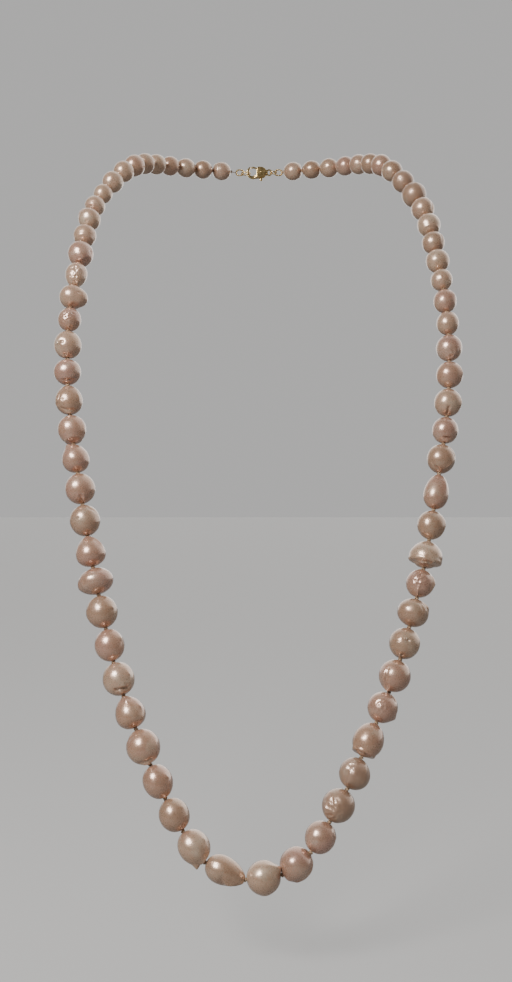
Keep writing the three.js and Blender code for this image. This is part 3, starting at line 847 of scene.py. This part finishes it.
jump_ring = ring_object("jump_ring_wire", HOOK_RING_RADIUS, HOOK_RING_X, HOOK_RING_Z, GOLD)
eye_ring = ring_object("eye_ring_wire", EYE_RING_RADIUS, EYE_RING_X, 0, GOLD)
gold_piece(jump_ring, "nape", "jump_ring")
gold_piece(eye_ring, "nape", "eye_ring")
gold_piece(wire_loop("gimp_left", LEFT_GIMP_X, GILT_WIRE), "nape", "wire_loop_left")
gold_piece(wire_loop("gimp_right", RIGHT_GIMP_X, GILT_WIRE), "nape", "wire_loop_right")

# The silk of the shoulders and the nape: the same cord, carried on from the topmost chest knots. It
# lies still against the neck, and each end passes into its wire loop.
for side, loop_x in (("left", LEFT_GIMP_X), ("right", RIGHT_GIMP_X)):
    way = -1 if side == "left" else 1
    loop_end = np.array([loop_x + way * (GIMP_HALF_LENGTH + GIMP_RADIUS * 0.4), CLASP_Y, 0])
    last = len(knots[side]) - 1
    start = PAIRS - PAIRS_ON_SHOULDERS + 1
    from_here = (knots[side][start] + knots[side][start + 1]) / 2
    shells = plies(np.array([from_here, *knots[side][start + 1:], loop_end]))
    for index in range(start + 1, last + 1):
        before = knots[side][index - 1]
        after = knots[side][index + 1] if index < last else loop_end
        shells.append(overhand_knot(knots[side][index], after - before, index * NAPE_KNOT_SPIN))
    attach(silk_object(f"silk_nape_{side}", shells), "nape")

# The lobster claw: a gold-plated casting with a fixed hook, split by a slot for the sprung lever,
# and with an eye cast on its end. It is tumbled smooth, which rounds every edge.
HOOK_X, HOOK_RADIUS = -2.6, 3.4
OPENING_X, OPENING_RADIUS = -2.9, 1.9
PIVOT_X = 1.5
EYE_X, EYE_RADIUS, EYE_HOLE = 6, 1.8, 1.05
HOOK_END_REACH = 6
CLAW_GRAIN, CLAW_ROUNDS = 0.08, 8


def arc(x, radius, start, end, steps=40):
    return [
        (x + radius * math.cos(math.radians(a)), radius * math.sin(math.radians(a)))
        for a in np.linspace(start, end, steps)
    ]


def eased(points, passes=3):
    """An outline with its corners cut, over and over, until it runs smoothly."""
    for _ in range(passes):
        cut = []
        for (x0, z0), (x1, z1) in zip(points, points[1:] + points[:1]):
            cut.append((0.75 * x0 + 0.25 * x1, 0.75 * z0 + 0.25 * z1))
            cut.append((0.25 * x0 + 0.75 * x1, 0.25 * z0 + 0.75 * z1))
        points = cut
    return points


def plate(outlines, low, high, edge):
    """A flat plate with rounded edges, from low to high in Y. Outlines after the first are holes."""
    curve = bpy.data.curves.new("plate", "CURVE")
    curve.dimensions = "2D"
    curve.fill_mode = "BOTH"
    curve.extrude = (high - low) / 2 * MM - edge * MM
    curve.bevel_depth = edge * MM
    curve.bevel_resolution = 3
    curve.offset = -edge * MM
    for outline in outlines:
        spline = curve.splines.new("POLY")
        spline.points.add(len(outline) - 1)
        for point, (x, z) in zip(spline.points, outline):
            point.co = (x * MM, z * MM, 0, 1)
        spline.use_cyclic_u = True
    holder = bpy.data.objects.new("plate", curve)
    bpy.context.scene.collection.objects.link(holder)
    bpy.context.view_layer.update()
    mesh = bpy.data.meshes.new_from_object(holder.evaluated_get(bpy.context.evaluated_depsgraph_get()))
    bpy.data.objects.remove(holder)
    points = np.array([v.co for v in mesh.vertices]) / MM
    faces = [tuple(p.vertices)[::-1] for p in mesh.polygons]
    bpy.data.meshes.remove(mesh)
    middle = CLASP_Y + (low + high) / 2
    return np.stack([points[:, 0], middle + points[:, 2], points[:, 1]], 1), faces


def cast_object(name, shells, material, grain, rounds):
    """Overlapping shells fused into one body with softened edges, as a casting has."""
    made = smooth_object(name, *joined(shells), material)
    fuse = made.modifiers.new("fuse", "REMESH")
    fuse.mode = "VOXEL"
    fuse.voxel_size = grain * MM
    soften = made.modifiers.new("soften", "SMOOTH")
    soften.factor = 0.5
    soften.iterations = rounds
    bpy.context.view_layer.update()
    mesh = bpy.data.meshes.new_from_object(made.evaluated_get(bpy.context.evaluated_depsgraph_get()))
    made.modifiers.clear()
    made.data = mesh
    mesh.shade_smooth()
    return made


hook_outline = (
    arc(HOOK_X, HOOK_RADIUS, 112, 334, 64)
    + [(-0.1, -1.7)]
    + arc(OPENING_X, OPENING_RADIUS, 328, 141, 48)
    + arc(PIVOT_X, HOOK_END_REACH, 165, 154, 5)
)
cheek_outline = eased([
    (-0.8, -2.8), (1.0, -2.95), (2.8, -2.7), (4.5, -1.5), (4.5, 1.5), (2.8, 2.7), (1.2, 2.95), (-0.2, 2.9),
    (-0.7, 1.6), (-0.9, 0), (-0.9, -1.4),
])
root_outline = eased([(-0.85, -1.0), (0.4, -1.0), (0.4, -2.8), (-0.7, -3.0), (-1.7, -3.2), (-1.5, -1.7)], 2)
neck_outline = eased([(3.3, -1.8), (4.3, -1.7), (5.4, -1.1), (5.4, 1.1), (4.3, 1.7), (3.3, 1.8)], 2)
claw_shells = [
    plate([hook_outline], -0.7, 0.7, 0.25),
    plate([cheek_outline], 0.75, 1.5, 0.3),
    plate([cheek_outline], -1.5, -0.75, 0.3),
    plate([root_outline], -1.35, 1.35, 0.25),
    plate([eased([(3.5, -1.9), (4.4, -1.5), (4.4, 1.5), (3.5, 1.9)], 1)], -1.35, 1.35, 0.15),
    plate([neck_outline], -0.55, 0.55, 0.2),
    plate([arc(EYE_X, EYE_RADIUS, 0, 350, 40), arc(EYE_X, EYE_HOLE, 0, 350, 32)], -0.5, 0.5, 0.2),
]
claw = cast_object("claw_casting", claw_shells, GOLD, CLAW_GRAIN, CLAW_ROUNDS)
gold_piece(claw, "clasp", "clasp_claw")

# The lever: a smaller casting in the slot, an arm that closes the hook, a round boss for the pin and
# a thumb tail below, pressed to open it. Its tip just clears the hook's end.
LEVER_REACH = 5.7
LEVER_THICKNESS = 0.5
LEVER_GRAIN, LEVER_ROUNDS = 0.09, 3

lever_arm = (
    arc(HOOK_X, HOOK_RADIUS - 0.3, 6, 104, 40)
    + arc(PIVOT_X, LEVER_REACH, 151.5, 157.5, 3)
    + arc(HOOK_X, HOOK_RADIUS - 1.1, 123, 6, 40)
)
lever_tail = eased([
    (1.2, -3.0), (0.9, -3.9), (1.1, -4.4), (1.7, -4.45), (2.3, -4.4), (2.45, -3.9),
    (2.25, -3.0), (2.35, -0.4), (1.1, -0.4),
], 2)
lever_shells = [
    plate([lever_arm], -LEVER_THICKNESS, LEVER_THICKNESS, 0.2),
    plate([arc(PIVOT_X, 1.15, 0, 350, 36)], -LEVER_THICKNESS, LEVER_THICKNESS, 0.15),
    plate([lever_tail], -LEVER_THICKNESS, LEVER_THICKNESS, 0.2),
]
lever = cast_object("lever_casting", lever_shells, GOLD, LEVER_GRAIN, LEVER_ROUNDS)
gold_piece(lever, "lever", "clasp_lever")

# The pin: a short brass rivet, plated with the claw. It runs through both cheeks and the lever, and
# its ends are peened over into low domes.
PIN_SIDES = 32
PIN_TIP = 0.01

pin_profile = [
    (0, -1.62), (0.3, -1.6), (0.48, -1.52), (0.4, -1.42), (0.4, 1.42), (0.48, 1.52), (0.3, 1.6), (0, 1.62),
]
pin_turns = np.linspace(0, 2 * math.pi, PIN_SIDES, endpoint=False)
pin_points = [
    (PIVOT_X + max(r, PIN_TIP) * math.cos(a), CLASP_Y + y, max(r, PIN_TIP) * math.sin(a))
    for r, y in pin_profile for a in pin_turns
]
pin_faces = [
    (i + j, i + PIN_SIDES + j, i + PIN_SIDES + (j + 1) % PIN_SIDES, i + (j + 1) % PIN_SIDES)
    for i in range(0, len(pin_points) - PIN_SIDES, PIN_SIDES) for j in range(PIN_SIDES)
]
pin_faces.append(tuple(range(PIN_SIDES)))
pin_faces.append(tuple(range(len(pin_points)))[:-PIN_SIDES - 1:-1])
gold_piece(smooth_object("pin_rivet", pin_points, pin_faces, GOLD), "clasp", "clasp_pin")

# The spring: one leaf of tempered steel, pushed into the claw behind the lever. On the clasp its foot
# rests on the lever's tail and its root stays in the claw, so it bends when the lever is pressed; here
# the leaf is built as one still mesh.
STEEL = polished_metal("spring_steel", (0.55, 0.55, 0.56), low=0.2, high=0.4, scratch=0.3)

leaf_outline = [(3.02, 1.65), (3.0, -1.45), (2.68, -2.28), (2.78, -2.36), (3.18, -1.6), (3.18, 1.65)]
leaf = smooth_object("spring_leaf", *plate([leaf_outline], -0.4, 0.4, 0.03), STEEL)
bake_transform(leaf)
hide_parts("clasp_spring")

# The floor: plain and pale, just below the strand. It isn't a piece of the necklace. It shows a
# little brighter than the light on it makes it, so that it stays pale far off.
FLOOR_DROP = 0.03
FLOOR_HALF = 6
FLOOR_GLOW = 0.32

floor_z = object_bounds()[0][2] - FLOOR_DROP
floor_corners = [
    (x * FLOOR_HALF, y * FLOOR_HALF, floor_z) for x, y in ((-1, -1), (1, -1), (1, 1), (-1, 1))
]
floor_mesh = bpy.data.meshes.new("floor")
floor_mesh.from_pydata(floor_corners, [], [(0, 1, 2, 3)])
floor = bpy.data.objects.new("floor", floor_mesh)
bpy.context.scene.collection.objects.link(floor)
floor_material, floor_nodes, floor_links, floor_shader = new_material("pale_floor")
floor_shader.inputs["Base Color"].default_value = (0.22, 0.218, 0.215, 1)
floor_shader.inputs["Roughness"].default_value = 0.8
floor_shader.inputs["Emission Color"].default_value = (1, 0.99, 0.98, 1)
floor_path = floor_nodes.new("ShaderNodeLightPath")
floor_glow = floor_nodes.new("ShaderNodeMath")
floor_glow.operation = "MULTIPLY"
floor_glow.inputs[1].default_value = FLOOR_GLOW
floor_links.new(floor_path.outputs["Is Camera Ray"], floor_glow.inputs[0])
floor_links.new(floor_glow.outputs[0], floor_shader.inputs["Emission Strength"])
floor_mesh.materials.append(floor_material)

# The room: a pale wall all round. It gives off less light than it shows, so that the pearls keep
# their dark sides, and more of it from behind, which lights their rims and their backs.
WALL_SEEN = (0.50, 0.495, 0.49, 1)
WALL_LIGHT = (0.10, 0.097, 0.093, 1)
BOUNCE_LIGHT = (1.9, 1.86, 1.80, 1)
BOUNCE_WAY = (0.45, 0.88, 0.15)

world = bpy.data.worlds.new("studio")
world.use_nodes = True
nodes, links = world.node_tree.nodes, world.node_tree.links
wall_place = nodes.new("ShaderNodeTexCoord")
towards = nodes.new("ShaderNodeVectorMath")
towards.operation = "DOT_PRODUCT"
towards.inputs[1].default_value = BOUNCE_WAY
links.new(wall_place.outputs["Generated"], towards.inputs[0])
bounce = nodes.new("ShaderNodeMapRange")
bounce.interpolation_type = "SMOOTHSTEP"
links.new(towards.outputs["Value"], bounce.inputs["Value"])
wall_tone = nodes.new("ShaderNodeMix")
wall_tone.data_type = "RGBA"
wall_tone.inputs[6].default_value = WALL_LIGHT
wall_tone.inputs[7].default_value = BOUNCE_LIGHT
links.new(bounce.outputs["Result"], wall_tone.inputs["Factor"])
seen = nodes["Background"]
seen.inputs["Color"].default_value = WALL_SEEN
given = nodes.new("ShaderNodeBackground")
links.new(wall_tone.outputs[2], given.inputs["Color"])
path = nodes.new("ShaderNodeLightPath")
either = nodes.new("ShaderNodeMixShader")
links.new(path.outputs["Is Camera Ray"], either.inputs["Fac"])
links.new(given.outputs[0], either.inputs[1])
links.new(seen.outputs[0], either.inputs[2])
links.new(either.outputs[0], nodes["World Output"].inputs["Surface"])
bpy.context.scene.world = world

# The window: one soft round lamp at the upper left, in front. It is near enough that the pearls on
# its own side, and the highest, catch the most of it.
STRAND_MIDDLE = (0, -0.06, -0.16)
WINDOW_WAY = (-0.62, -0.80, 0.62)
WINDOW_DISTANCE = 0.62
WINDOW_WIDTH = 0.30
WINDOW_WATTS = 5.4

window_data = bpy.data.lights.new("window", "AREA")
window_data.shape = "DISK"
window_data.size = WINDOW_WIDTH
window_data.energy = WINDOW_WATTS
window_data.color = (1, 0.985, 0.96)
window = bpy.data.objects.new("window", window_data)
window.location = Vector(STRAND_MIDDLE) + WINDOW_DISTANCE * Vector(WINDOW_WAY).normalized()
window.rotation_euler = Vector(WINDOW_WAY).to_track_quat("Z", "Y").to_euler()
window.visible_camera = False
bpy.context.scene.collection.objects.link(window)

bpy.context.view_layer.update()
